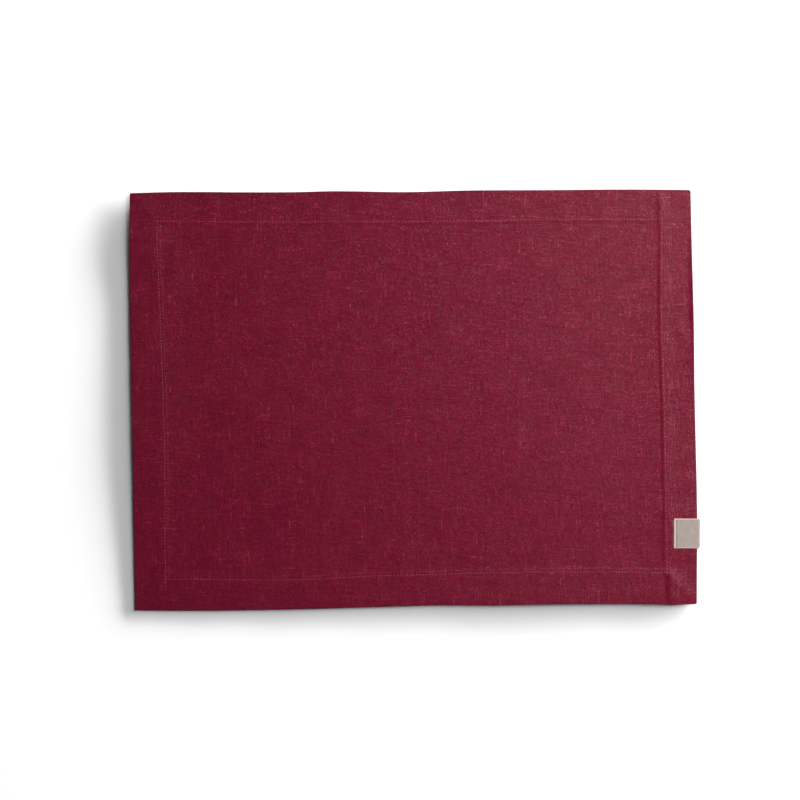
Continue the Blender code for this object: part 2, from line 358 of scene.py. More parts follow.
def turnRows():
    # the sheet's way from the rim down, in under the hem and up inside it: hem part,
    # metres further in, share of the way down from the upper layer, share of the way up
    # to the tuck
    rim, rimRadius, foldRadius = (clothLook[name] for name in ("rimInset", "rimRadius", "foldRadius"))
    firstStep, *lastSteps = clothLook["underStepsMm"]
    rows = []
    for turn in np.linspace(0, math.pi, clothLook["rimPoints"])[1:]:
        rows.append((0.0, rim - rimRadius * math.sin(turn), (1 - math.cos(turn)) / 2, 0.0))
    for part in clothLook["underParts"]:
        rows.append((part, rim * (1 - part) - firstStep * mm * part, 1.0, 0.0))
    for step in lastSteps:
        rows.append((1.0, -step * mm, 1.0, 0.0))
    for turn in np.linspace(0, math.pi, clothLook["foldPoints"]):
        rows.append((1.0, foldRadius * (math.sin(turn) - 1), 1.0, (1 - math.cos(turn)) / 2))
    for step in clothLook["tuckStepsMm"]:
        rows.append((1.0, -step * mm, 1.0, 1.0))
    return rows


def hemStrip(side, alongRim, rimHeight):
    # one side's strip of the sheet: places, and its yarn coordinates, row by row
    axis, sense = sideSense[side]
    lowSide, highSide = neighboursOf(side)
    rim, blendIn, halfGap = clothLook["rimInset"], clothLook["cornerReach"], clothLook["mitreGap"] / 2
    field, tuck = clothLook["fieldLevel"], clothLook["tuckLevel"]
    lines, before, run = [], (rim, rimHeight), np.zeros(np.shape(alongRim))
    fromLow = np.clip(1 - (alongRim - alongRim[0]) / blendIn, 0.0, 1.0)
    fromHigh = np.clip(1 - (alongRim[-1] - alongRim) / blendIn, 0.0, 1.0)
    for hemPart, inward, down, up in turnRows():
        along = alongRim
        for _ in range(clothLook["hemRounds"]):
            edge, hem = reachOf(side, along)
            depth = hemPart * hem + inward
            across = sense * (edge - depth)
            lowEnd = -reachOf(lowSide, across)[0]
            highEnd = reachOf(highSide, across)[0]
            drawnIn = depth + halfGap * easeStep(depth, *clothLook["mitreOpens"]) * down
            atLow = (lowEnd + drawnIn - alongRim[0]) * fromLow
            atHigh = (highEnd - drawnIn - alongRim[-1]) * fromHigh
            along = alongRim + atLow + atHigh
        x, y = (across, along) if axis == 0 else (along, across)
        under = liftAt(x, y) + field + (tuck - field) * up
        z = rimHeight * (1 - down) + under * down
        run = run + np.hypot(depth - before[0], z - before[1])
        before = (depth, z)
        depths = {side: depth, lowSide: along - lowEnd, highSide: highEnd - along}
        roundX, roundY = roundCorners(x, y, depths)
        flat = sense * (reachOf(side, along)[0] - rim + run)
        yarns = (flat, along) if axis == 0 else (along, flat)
        lines.append((roundX, roundY, z, *yarns))
    return np.array(lines)


def addPiece(name, data):
    piece = bpy.data.objects.new(name, data)
    bpy.context.scene.collection.objects.link(piece)
    return piece


def meshFrom(name, points, faces, yarns):
    # a mesh of quads with a UV map that holds each point's place in the flat cloth
    mesh = bpy.data.meshes.new(name)
    mesh.from_pydata(points, [], faces.tolist())
    layer = mesh.uv_layers.new(name="yarns")
    layer.data.foreach_set("uv", yarns[faces.ravel()].astype(np.float32).ravel())
    mesh.shade_smooth()
    return addPiece(name, mesh)


def gridQuads(numbers, flip):
    # the faces of a grid of numbered points
    corners = (numbers[:-1, :-1], numbers[1:, :-1], numbers[1:, 1:], numbers[:-1, 1:])
    return np.stack([corner.ravel() for corner in (corners[::-1] if flip else corners)], axis=1)


def thicken(piece, thickness):
    wall = piece.modifiers.new("thickness", "SOLIDIFY")
    wall.thickness = thickness
    wall.offset = 0.0
    wall.use_even_offset = True


def asPlainMesh(piece):
    # turns what the modifiers make into the piece's own mesh
    graph = bpy.context.evaluated_depsgraph_get()
    finished = bpy.data.meshes.new_from_object(piece.evaluated_get(graph), depsgraph=graph)
    piece.modifiers.clear()
    piece.data = finished
    return piece


def makeCloth():
    # one continuous sheet: field and upper layer, then each side turned under and in
    x, y = clothGrid()
    z = topHeight(x, y)
    depths = {side: depthFrom(side, x, y)[0] for side in sideSense}
    roundX, roundY = roundCorners(x, y, depths)
    parts = [np.stack([roundX, roundY, z, x, y]).reshape(5, -1)]  # places, then yarn coordinates
    numbers = np.arange(x.size).reshape(x.shape)
    faces = [gridQuads(numbers, False)]
    for side, (axis, sense) in sideSense.items():
        rim = 0 if sense < 0 else -1
        place = (rim, slice(None)) if axis == 0 else (slice(None), rim)
        lines = hemStrip(side, (y if axis == 0 else x)[place], z[place])
        added = np.arange(lines[:, 0].size).reshape(len(lines), -1) + sum(part.shape[1] for part in parts)
        strip = np.vstack([numbers[place][None, :], added])
        flip = (axis == 0) == (sense < 0)
        faces.append(gridQuads(strip if axis == 0 else strip.T, flip if axis == 0 else not flip))
        parts.append(lines.transpose(1, 0, 2).reshape(5, -1))
    sheet = np.hstack(parts)
    middle = np.array([*clothLook["middle"], 0.0])
    cloth = meshFrom("linen_cloth", sheet[:3].T + middle, np.vstack(faces), sheet[3:].T)
    weld = cloth.modifiers.new("weld corners", "WELD")
    weld.merge_threshold = 2e-6  # takes only points that lie on each other
    thicken(cloth, clothLook["linen"])
    return asPlainMesh(cloth)


# What a user would change on the label, in metres unless the name says otherwise
labelLook = {
    "along": 0.0264,  # along the cloth's edge
    "reach": 0.0231,  # from the fold to the ends of its leaves
    "middleY": -0.1228,
    "foldX": 0.2522,
    "turnDegrees": -0.9,
    "tape": 0.00050,
    "table": 0.00002,  # air under the lower leaf
    "air": 0.00004,  # and between the tape and the cloth
    "noseRadius": 0.00135,
    "margin": 0.0020,  # the cloth lies as high as over the label so far past it
    "ease": 0.0170,  # and comes down over this length
    "heldInset": 2.6 * mm,  # the tape leaves the cloth here, in from its edge
    "raggedEnds": ((0.10 * mm, 1.7 * mm), (0.09 * mm, 0.62 * mm)),  # waves: height, length
    "seamInset": 0.0023,  # its own seam, in from the ends
    "seamSideInset": 1.6 * mm,  # and from its sides
    "seamPoints": 30,
    "stitchPitch": 0.0022,
    "seamPull": 0.13 * mm,
    "puckers": 0.4,  # share by which each stitch pulls more than the gaps
    "pullReach": 1.0 * mm,
    "curl": 0.13 * mm,  # of the upper end, off the cloth
    "curlFrom": (0.3 * mm, 2.2 * mm),
    "crown": 0.10 * mm,  # the upper leaf's rise in its middle
    "crownShares": (0.45, 0.5, 0.6),  # its middle and reach in the leaf, its reach along
    "spansAlong": 44,
    "spansLeaf": 38,
    "spansNose": 12,
}


def flatPlace(localX, localY):
    # from the label's own axes, its fold at 0, to the frame
    turn = math.radians(labelLook["turnDegrees"])
    x = labelLook["foldX"] + localX * math.cos(turn) - localY * math.sin(turn)
    y = labelLook["middleY"] + localX * math.sin(turn) + localY * math.cos(turn)
    return x, y


def tapeOverCloth(x, y):
    # middle of the tape where it lies on the cloth, held level past the cloth's rolled edge
    middleX, middleY = clothLook["middle"]
    onCloth = np.minimum(x - middleX, reachOf("right", y - middleY)[0] - labelLook["heldInset"])
    between = clothLook["linen"] / 2 + labelLook["air"] + labelLook["tape"] / 2
    return topHeight(onCloth, y - middleY) + between


def makeLabel():
    # one strip of tape: under the cloth, round its edge and back over it
    look = labelLook
    nose, reach, tape, seamInset = (look[name] for name in ("noseRadius", "reach", "tape", "seamInset"))
    acrossTape = np.linspace(-0.5, 0.5, look["spansAlong"] + 1) * look["along"]
    ragged = sum(height * np.sin(acrossTape / length) for height, length in look["raggedEnds"])
    puckers = look["puckers"] * np.cos(acrossTape / look["stitchPitch"] * math.tau)
    seamPull = look["seamPull"] * (1 + puckers)
    lowLevel = look["table"] + tape / 2
    rows = []

    def leafRow(share, endLine):
        # how far a row of a leaf lies from the fold, and how far the seam pulls it in
        localX = -nose - share * (reach - nose + endLine)
        return localX, seamPull * bell(localX + reach - seamInset, look["pullReach"])

    for share in np.linspace(1.0, 0.0, look["spansLeaf"] + 1):
        localX, pull = leafRow(share, ragged)
        rows.append((*flatPlace(localX, acrossTape), lowLevel + pull))
    foldFoot = tapeOverCloth(*flatPlace(-nose, acrossTape))
    for turn in np.linspace(-math.pi / 2, math.pi / 2, look["spansNose"] + 1)[1:-1]:
        x, y = flatPlace(-nose * (1 - math.cos(turn)), acrossTape)
        rows.append((x, y, lowLevel + (foldFoot - lowLevel) * (1 + math.sin(turn)) / 2))
    crownMiddle, crownReach, crownAlong = look["crownShares"]
    for share in np.linspace(0.0, 1.0, look["spansLeaf"] + 1):
        localX, pull = leafRow(share, ragged[::-1])
        x, y = flatPlace(localX, acrossTape)
        curl = look["curl"] * easeStep(-localX - reach + seamInset, *look["curlFrom"])
        crown = look["crown"] * bell(localX + crownMiddle * reach, crownReach * reach)
        crown = crown * bell(acrossTape, crownAlong * look["along"])
        rows.append((x, y, tapeOverCloth(x, y) + crown + curl - pull))
    points = np.array([np.stack(row, axis=1) for row in rows])
    steps = np.linalg.norm(np.diff(points, axis=0), axis=2).mean(axis=1)
    along = np.concatenate([[0.0], np.cumsum(steps)])
    yarns = np.stack(np.broadcast_arrays(along[:, None], acrossTape[None, :]), axis=-1).reshape(-1, 2)
    numbers = np.arange(points.shape[0] * points.shape[1]).reshape(points.shape[:2])
    label = meshFrom("label_strip", points.reshape(-1, 3), gridQuads(numbers, True), yarns)
    thicken(label, tape)
    return asPlainMesh(label), along[-1]


def feed(socket, value):
    # links a socket to another one, or sets the plain value that an input keeps
    if isinstance(value, bpy.types.NodeSocket):
        socket.id_data.links.new(value, socket)
    else:
        socket.default_value = value


def addNode(tree, kind, feeds=None, **settings):
    # a node with its settings, and what its inputs take, by name or number
    node = tree.nodes.new(kind)
    node.location = (190 * (len(tree.nodes) % 12), -260 * (len(tree.nodes) // 12))
    for name, value in settings.items():
        setattr(node, name, value)
    for name, value in (feeds or {}).items():
        feed(node.inputs[name], value)
    return node


def follow(kind, feeds, **settings):
    # what a node makes of the sockets that it takes, in the tree that they belong to
    tree = next(value.id_data for value in feeds.values() if isinstance(value, bpy.types.NodeSocket))
    return addNode(tree, kind, feeds, **settings).outputs


def calc(operation, *values):
    return follow("ShaderNodeMath", dict(enumerate(values)), operation=operation)[0]


def times(a, b):
    return calc("MULTIPLY", a, b)


def plus(a, b):
    return calc("ADD", a, b)


def minus(a, b):
    return calc("SUBTRACT", a, b)


def timesPlus(a, b, c):
    # a times b, and c added to it
    return calc("MULTIPLY_ADD", a, b, c)


def joinXyz(x, y, z):
    return follow("ShaderNodeCombineXYZ", {"X": x, "Y": y, "Z": z})[0]


def splitXyz(vector):
    return follow("ShaderNodeSeparateXYZ", {"Vector": vector})


def randomIn(low, high, seed):
    return follow("FunctionNodeRandomValue", {2: low, 3: high, "Seed": seed})[1]


def newTree(name, kind, inputs, outputs):
    # an empty node tree with its named inputs and outputs
    tree = bpy.data.node_groups.new(name, kind)
    for direction, sockets in (("INPUT", inputs), ("OUTPUT", outputs)):
        for label, socketKind in sockets.items():
            tree.interface.new_socket(name=label, in_out=direction, socket_type="NodeSocket" + socketKind)
    entry = tree.nodes.new("NodeGroupInput")
    leave = tree.nodes.new("NodeGroupOutput")
    return tree, entry.outputs, leave.inputs


def newPieceTree(name, sizes, **others):
    # an empty tree for copies of a shape that lie on another piece
    inputs = {"Geometry": "Geometry", "Laid On": "Object", "Facing": "Float", "Seed": "Int"}
    inputs.update(**dict.fromkeys(sizes, "Float"), **others, Finish="Material")
    return newTree(name, "GeometryNodeTree", inputs, {"Geometry": "Geometry"})


def settleOn(geometry, target, facing):
    # lays a flat piece on a surface: each point keeps its height above it, or below it
    # where facing is -1
    rayStart = 0.05
    x, y, height = splitXyz(addNode(geometry.id_data, "GeometryNodeInputPosition").outputs[0])
    surface = follow("GeometryNodeObjectInfo", {"Object": target}, transform_space="ORIGINAL")["Geometry"]
    ray = follow("GeometryNodeRaycast", {
        "Target Geometry": surface,
        "Source Position": joinXyz(x, y, times(facing, rayStart)),
        "Ray Direction": joinXyz(0.0, 0.0, times(facing, -1.0)),
        "Ray Length": 2 * rayStart,
    })
    landed = joinXyz(x, y, plus(splitXyz(ray["Hit Position"])[2], height))
    return follow(
        "GeometryNodeSetPosition", {"Geometry": geometry, "Selection": ray["Is Hit"], "Position": landed}
    )[0]


def evenPoints(lines, spacing):
    # points at an even spacing along loose edges
    curve = follow("GeometryNodeMeshToCurve", {0: lines})[0]
    return follow("GeometryNodeResampleCurve", {"Curve": curve, "Length": spacing}, mode="LENGTH")[0]


def spindle(start, middle, end, thickness, endShare, sides, rings):
    # a length of yarn that thins towards both ends
    tree = thickness.id_data
    bend = {"Resolution": rings, "Start": start, "Middle": middle, "End": end}
    line = addNode(tree, "GeometryNodeCurveQuadraticBezier", bend).outputs[0]
    factor = addNode(tree, "GeometryNodeSplineParameter").outputs["Factor"]
    fullness = calc("SINE", times(factor, math.pi))
    circle = {"Resolution": sides, "Radius": times(thickness, 0.5)}
    outline = follow("GeometryNodeCurvePrimitiveCircle", circle)["Curve"]
    scale = timesPlus(fullness, 1.0 - endShare, endShare)
    sweep = {"Curve": line, "Profile Curve": outline, "Scale": scale, "Fill Caps": True}
    return follow("GeometryNodeCurveToMesh", sweep)[0]


def layCopies(given, leave, points, shape, heading, scale):
    # one copy of a shape on each point, turned to its heading, laid on the piece and dyed
    roll = times(minus(1.0, given["Facing"]), math.pi / 2)
    rotation = follow("FunctionNodeEulerToRotation", {"Euler": joinXyz(roll, 0.0, heading)})[0]
    placing = {"Points": points, "Instance": shape, "Rotation": rotation, "Scale": scale}
    copies = follow("GeometryNodeInstanceOnPoints", placing)[0]
    whole = follow("GeometryNodeRealizeInstances", {"Geometry": copies})[0]
    laid = settleOn(whole, given["Laid On"], given["Facing"])
    smooth = follow("GeometryNodeSetShadeSmooth", {"Geometry": laid})[0]
    dyed = follow("GeometryNodeSetMaterial", {"Geometry": smooth, "Material": given["Finish"]})[0]
    feed(leave["Geometry"], dyed)


def linesMesh(name, lines):
    # loose edges that a tree follows as curves
    points, edges = [], []
    for line in lines:
        start = len(points)
        points.extend(tuple(point) for point in line)
        edges.extend((number, number + 1) for number in range(start, len(points) - 1))
    mesh = bpy.data.meshes.new(name)
    mesh.from_pydata(points, edges, [])
    return mesh


def asPath(x, y):
    # a line for a tree to follow and to lay on a piece
    return [(float(px), float(py), 0.0) for px, py in zip(x, y)]


def growOn(target, facing, name, paths, tree, look, finish):
    # lays what a tree makes along paths on the upper side of a piece, or on its underside
    # where facing is -1, and keeps it as a plain mesh
    values = {**look, "Laid On": target, "Facing": facing, "Finish": finish}
    piece = addPiece(name, linesMesh(name + " paths", paths))
    modifier = piece.modifiers.new(tree.name, "NODES")
    modifier.node_group = tree
    for item in tree.interface.items_tree:
        if item.in_out == "INPUT" and item.name in values:
            modifier[item.identifier] = values[item.name]
    return asPlainMesh(piece)


hemStitchLook = {
    "Pitch": 0.00285,
    "Stitch Length": 0.0019,
    "Thread": 0.00044,
    "Rise": 0.00010,
    "Slack": 0.00006,
    "Turn": 0.0,
    "Wobble": 0.07,
    "Length Spread": 0.10,
    "Seed": 5,
}
lowerThreadLook = {"Thread": 0.00026, "Rise": 0.0}  # below, it is thinner and drawn flat
mitreStitchLook = {"Turn": 1.05, "Pitch": 0.0030, "Stitch Length": 0.0020, "Seed": 15}
mitreRun = (0.10, 0.97, 12)  # shares of the way from corner to inner folds, and points on it


def stitchTree():
    # a row of stitches along a line: each dips into the cloth at both ends
    tree, given, leave = newPieceTree("rowOfStitches", [name for name in hemStitchLook if name != "Seed"])
    tangent = splitXyz(addNode(tree, "GeometryNodeInputTangent").outputs[0])
    along = calc("ARCTAN2", tangent[1], tangent[0])
    aside = randomIn(-1.0, 1.0, given["Seed"])
    onward = randomIn(-1.0, 1.0, plus(given["Seed"], 1.0))
    shift = joinXyz(times(aside, given["Slack"]), times(onward, given["Slack"]), 0.0)
    even = evenPoints(given["Geometry"], given["Pitch"])
    eased = follow("GeometryNodeSetPosition", {"Geometry": even, "Offset": shift})[0]
    half = times(given["Stitch Length"], 0.5)
    sunk = times(given["Thread"], -0.5)
    stitch = spindle(
        joinXyz(times(half, -1.0), 0.0, sunk),
        joinXyz(0.0, 0.0, minus(times(given["Rise"], 2.0), sunk)),
        joinXyz(half, 0.0, sunk),
        given["Thread"], endShare=0.55, sides=6, rings=6,
    )
    heading = plus(plus(along, given["Turn"]), times(aside, given["Wobble"]))
    size = timesPlus(onward, given["Length Spread"], 1.0)
    layCopies(given, leave, eased, stitch, heading, joinXyz(size, 1.0, 1.0))
    return tree


def seamLine(side):
    # where a side's hem seam runs, in the frame
    axis, sense = sideSense[side]
    lowSide, highSide = neighboursOf(side)
    inset, lowRun, highRun = (value * mm for value in seamRows[side])
    nominal = sense * (clothLook["width" if axis == 0 else "depth"] / 2 - clothLook["hemWidth"])
    lowEdge, lowHem = reachOf(lowSide, nominal)
    highEdge, highHem = reachOf(highSide, nominal)
    lowEnd = -lowEdge + lowHem - seamRows[lowSide][0] * mm - lowRun
    highEnd = highEdge - highHem + seamRows[highSide][0] * mm + highRun
    along = np.linspace(lowEnd, highEnd, seamLook["points"])
    edge, hem = reachOf(side, along)
    across = sense * (edge - hem + inset)
    x, y = (across, along) if axis == 0 else (along, across)
    middleX, middleY = clothLook["middle"]
    return asPath(x + middleX, y + middleY)


def mitreLine(sideX, sideY):
    # the diagonal where two hems meet under a corner
    senseX, senseY = sideSense[sideX][1], sideSense[sideY][1]
    edgeX, hemX = reachOf(sideX, np.array(senseY * clothLook["depth"] / 2))
    edgeY, hemY = reachOf(sideY, np.array(senseX * clothLook["width"] / 2))
    share = np.linspace(*mitreRun)
    middleX, middleY = clothLook["middle"]
    return asPath(senseX * (edgeX - share * hemX) + middleX, senseY * (edgeY - share * hemY) + middleY)


def sewHems(cloth, stitchRow, finish):
    # the hem seam above and below, and slip stitches along the mitres
    seams = [seamLine(side) for side in sideSense]
    mitres = [mitreLine(*corner) for corner in cornerRadiiMm]
    below = {**hemStitchLook, **lowerThreadLook}
    atMitres = {**below, **mitreStitchLook}
    return [
        growOn(cloth, 1.0, "hem_stitches", seams, stitchRow, hemStitchLook, finish),
        growOn(cloth, -1.0, "under_stitches", seams, stitchRow, below, finish),
        growOn(cloth, -1.0, "mitre_stitches", mitres, stitchRow, atMitres, finish),
    ]


labelStitchLook = {
    **hemStitchLook,
    "Pitch": labelLook["stitchPitch"],
    "Stitch Length": 0.0018,
    "Thread": 0.00052,
    "Rise": 0.00008,
    "Slack": 0.00005,
    "Seed": 21,
}

frayLook = {
    "Spacing": 0.00026,
    "Shortest": 0.0004,
    "Longest": 0.0014,
    "Thickness": 0.00013,
    "Root Height": 0.00030,
    "Rooted Share": 0.2,  # of its length, back under the tape
    "Bow": 0.00012,
    "Heading": math.pi,
    "Splay": 0.6,
    "Seed": 9,
}


def frayTree():
    # loose fibres that stand out from a cut end
    tree, given, leave = newPieceTree("frayedEnd", [name for name in frayLook if name != "Seed"])
    fibre = spindle(
        joinXyz(times(given["Rooted Share"], -1.0), 0.0, given["Root Height"]),
        joinXyz(0.5, given["Bow"], given["Root Height"]),
        joinXyz(1.0, 0.0, times(given["Thickness"], 0.5)),
        given["Thickness"], endShare=0.4, sides=4, rings=5,
    )
    splay = times(randomIn(-1.0, 1.0, given["Seed"]), given["Splay"])
    length = randomIn(given["Shortest"], given["Longest"], plus(given["Seed"], 1.0))
    points = evenPoints(given["Geometry"], given["Spacing"])
    heading = plus(given["Heading"], splay)
    layCopies(given, leave, points, fibre, heading, joinXyz(length, 1.0, 1.0))
    return tree


def sewLabel(label, cloth, stitchRow, threads):
    # the label's seam on both faces, and the loose fibres of its upper end
    look = labelLook
    seamLength = look["along"] - 2 * look["seamSideInset"]
    acrossTape = np.linspace(-0.5, 0.5, look["seamPoints"]) * seamLength
    seam = [asPath(*flatPlace(look["seamInset"] - look["reach"], acrossTape))]
    cutEnd = [asPath(*flatPlace(-look["reach"], acrossTape))]
    below = {**labelStitchLook, **lowerThreadLook}
    thread, fibre = threads["tape thread"], threads["loose tape fibre"]
    return [
        growOn(label, 1.0, "label_stitches", seam, stitchRow, labelStitchLook, thread),
        growOn(label, -1.0, "label_under_stitches", seam, stitchRow, below, thread),
        growOn(cloth, 1.0, "label_frays", cutEnd, frayTree(), frayLook, fibre),
    ]


slubLook = {
    "Across": 0.492,
    "Deep": 0.362,
    "Middle": (*clothLook["middle"], 0.0),
    "Density": 700.0,  # a square metre
    "Shortest": 0.0022,
    "Longest": 0.011,
    "Rarity": 2.6,  # of long ones: the power of their chance
    "Thickness": 0.00036,
    "Thinnest": 0.65,  # shares of that thickness
    "Thickest": 1.3,
    "Flatness": 0.55,
    "Upright Share": 0.5,
    "Tilt": 0.02,
    "Seed": 3,
}


def slubTree():
    # thick places in the yarn, strewn over the cloth along its two yarn directions
    sizes = [name for name in slubLook if name not in ("Middle", "Seed")]
    tree, given, leave = newPieceTree("slubYarns", sizes, Middle="Vector")
    field = follow("GeometryNodeMeshGrid", {"Size X": given["Across"], "Size Y": given["Deep"]})["Mesh"]
    placed = follow("GeometryNodeTransform", {"Geometry": field, "Translation": given["Middle"]})[0]
    strewing = {"Mesh": placed, "Density": given["Density"], "Seed": given["Seed"]}
    points = follow("GeometryNodeDistributePointsOnFaces", strewing)["Points"]
    seeds = [plus(given["Seed"], float(number)) for number in range(1, 5)]
    yarn = spindle(
        (-0.5, 0.0, 0.0), (0.0, 0.0, 0.0), (0.5, 0.0, 0.0),
        given["Thickness"], endShare=0.12, sides=5, rings=7,
    )
    upright = calc("LESS_THAN", randomIn(0.0, 1.0, seeds[0]), given["Upright Share"])
    tilt = randomIn(times(given["Tilt"], -1.0), given["Tilt"], seeds[1])
    heading = timesPlus(upright, math.pi / 2, tilt)
    chance = calc("POWER", randomIn(0.0, 1.0, seeds[2]), given["Rarity"])
    length = timesPlus(chance, minus(given["Longest"], given["Shortest"]), given["Shortest"])
    girth = randomIn(given["Thinnest"], given["Thickest"], seeds[3])
    scale = joinXyz(length, girth, times(girth, given["Flatness"]))
    layCopies(given, leave, points, yarn, heading, scale)
    return tree


def noiseAt(place, scale, detail=0.0, roughness=0.5):
    # smooth noise, about 0.5 on the whole, at so many cells a metre
    values = {"Vector": place, "Scale": scale, "Detail": detail, "Roughness": roughness}
    return follow("ShaderNodeTexNoise", values, noise_dimensions="2D")


def rampFrom(value, low, high):
    # 0 below low, 1 above high
    values = {"Value": value, "From Min": low, "From Max": high}
    return follow("ShaderNodeMapRange", values, interpolation_type="SMOOTHSTEP")[0]


def chooseValue(share, low, high):
    return follow("ShaderNodeMix", {0: share, 2: low, 3: high}, data_type="FLOAT")[0]


# How every woven piece is spun and woven. The noises along a yarn have their cells a metre,
# how far apart it lies for two neighbours, and where it starts
yarnLook = {
    "warpStart": 3.1,
    "weftStart": 11.7,
    "swell": (230.0, 7.31, 0.0),
    "slub": (95.0, 3.17, 40.0),
    "ownTone": (48.0, 5.31, 80.0),
    "slubFrom": (0.66, 0.80),
    "swellTone": 3.0,
    "halfWidth": 0.46,  # of a yarn, as a share of the pitch
    "slubWidth": 0.30,
    "thickRise": 0.5,  # how much higher a thick place stands
    "wanderCells": 45.0,
    "overUnder": 0.40,  # what a yarn's height owes to passing over and under
    "roundness": 0.60,  # and to its own roundness
    "fibreCells": (9000.0, 1500.0),  # across and along the yarn that is on top
    "fibreRise": 0.22,
}


def noiseOnYarn(kind, lane, along, start, detail=0.0, roughness=0.5):
    cells, laneStep, offset = yarnLook[kind]
    place = joinXyz(timesPlus(lane, laneStep, start + offset), times(along, cells), 0.0)
    return noiseAt(place, 1.0, detail, roughness)[0]


def yarnSet(across, along, pitch, unevenness, ownTone, start):
    # one direction's yarns: place counted in yarns, lane, roundness, tone and slub
    look = yarnLook
    place = calc("DIVIDE", across, pitch)
    lane = calc("FLOOR", place)
    aside = minus(minus(place, lane), 0.5)
    swell = minus(noiseOnYarn("swell", lane, along, start, detail=2.0, roughness=0.6), 0.5)
    slub = rampFrom(noiseOnYarn("slub", lane, along, start), *look["slubFrom"])
    own = timesPlus(noiseOnYarn("ownTone", lane, along, start), 2.0, -1.0)
    tone = timesPlus(swell, look["swellTone"], times(own, ownTone))
    half = timesPlus(swell, unevenness, timesPlus(slub, look["slubWidth"], look["halfWidth"]))
    ratio = calc("DIVIDE", aside, half)
    fullness = minus(1.0, times(ratio, ratio))
    roundness = calc("SQRT", calc("MAXIMUM", fullness, 0.0))
    roundness = timesPlus(plus(swell, slub), look["thickRise"], roundness)
    return place, lane, roundness, tone, slub


def overUnder(place, lane):
    # a yarn's rise and dip as it passes the yarns that cross it
    sign = timesPlus(calc("FLOORED_MODULO", lane, 2.0), -2.0, 1.0)
    return times(calc("SINE", times(place, math.pi)), sign)


def wovenYarnsGroup():
    # plain weave of uneven round yarns that pass over and under each other
    inputs = {"Place": "Vector", **dict.fromkeys(linenFinish["weave"], "Float")}
    outputs = dict.fromkeys(("Height", "Tone", "Slub", "Fibre"), "Float")
    tree, given, leave = newTree("wovenYarns", "ShaderNodeTree", inputs, outputs)
    look = yarnLook
    wander = joinXyz(given["Wander"], given["Wander"], 0.0)
    drift = noiseAt(given["Place"], look["wanderCells"], detail=2.0)["Color"]
    wandering = {0: drift, 1: wander, 2: given["Place"]}
    x, y, _ = splitXyz(follow("ShaderNodeVectorMath", wandering, operation="MULTIPLY_ADD")[0])
    warpPlace, warpLane, warpRound, warpTone, warpSlub = yarnSet(
        x, y, given["Warp Pitch"], given["Unevenness"], given["Warp Tone"], look["warpStart"]
    )
    weftPlace, weftLane, weftRound, weftTone, weftSlub = yarnSet(
        y, x, given["Weft Pitch"], given["Unevenness"], given["Weft Tone"], look["weftStart"]
    )
    warpRise = overUnder(weftPlace, warpLane)
    weftRise = times(overUnder(warpPlace, weftLane), -1.0)
    warpHeight = timesPlus(warpRise, look["overUnder"], times(warpRound, look["roundness"]))
    weftHeight = timesPlus(weftRise, look["overUnder"], times(weftRound, look["roundness"]))
    warpOnTop = calc("GREATER_THAN", warpHeight, weftHeight)
    fine, coarse = look["fibreCells"]
    fibreX = times(x, chooseValue(warpOnTop, coarse, fine))
    fibreY = times(y, chooseValue(warpOnTop, fine, coarse))
    fibre = minus(noiseAt(joinXyz(fibreX, fibreY, 0.0), 1.0, detail=1.0)[0], 0.5)
    lanes = {"Vector": joinXyz(warpLane, weftLane, 0.0)}
    chance = follow("ShaderNodeTexWhiteNoise", lanes, noise_dimensions="2D")["Value"]
    crossing = times(minus(chance, 0.5), given["Crossing Tone"])
    tone = plus(chooseValue(warpOnTop, weftTone, warpTone), crossing)
    tone = calc("MAXIMUM", tone, given["Lowest Tone"])
    height = calc("MAXIMUM", warpHeight, weftHeight)
    height = timesPlus(tone, given["Tone Rise"], height)  # full yarns stand higher
    feed(leave["Height"], timesPlus(fibre, look["fibreRise"], height))
    feed(leave["Tone"], tone)
    feed(leave["Slub"], chooseValue(warpOnTop, weftSlub, warpSlub))
    feed(leave["Fibre"], fibre)
    return tree


def mottleGroup():
    # cloudy dye: slow patches of noise that vary round 0
    inputs = {"Place": "Vector", "Patch Size": "Float"}
    tree, given, leave = newTree("mottle", "ShaderNodeTree", inputs, {"Patches": "Float"})
    cells = calc("DIVIDE", 1.0, given["Patch Size"])
    patches = noiseAt(given["Place"], cells, detail=4.0, roughness=0.62)[0]
    feed(leave["Patches"], timesPlus(patches, 4.0, -2.0))
    return tree


def newMaterial(name, values):
    # a material with a Principled shader that has these plain values
    material = bpy.data.materials.new(name)
    material.use_nodes = True
    tree = material.node_tree
    tree.nodes.clear()
    shader = addNode(tree, "ShaderNodeBsdfPrincipled", values)
    addNode(tree, "ShaderNodeOutputMaterial", {0: shader.outputs[0]})
    return material, tree, shader.inputs


def blendColors(share, low, high):
    # from one colour to another; each is a tuple or the socket that gives it
    low, high = ((*color, 1.0) if isinstance(color, tuple) else color for color in (low, high))
    return follow("ShaderNodeMix", {0: share, 6: low, 7: high}, data_type="RGBA")[2]


def rampColors(share, stops):
    # a colour ramp through named stops: place, then colour
    node = addNode(share.id_data, "ShaderNodeValToRGB", {"Fac": share})
    ends = node.color_ramp.elements
    for element, (place, color) in zip(ends, (stops[0], stops[-1])):
        element.position = place
        element.color = (*color, 1.0)
    for place, color in stops[1:-1]:
        ends.new(place).color = (*color, 1.0)
    return node.outputs["Color"]


def bumpFrom(height, distance):
    return follow("ShaderNodeBump", {"Strength": 1.0, "Distance": distance, "Height": height})[0]


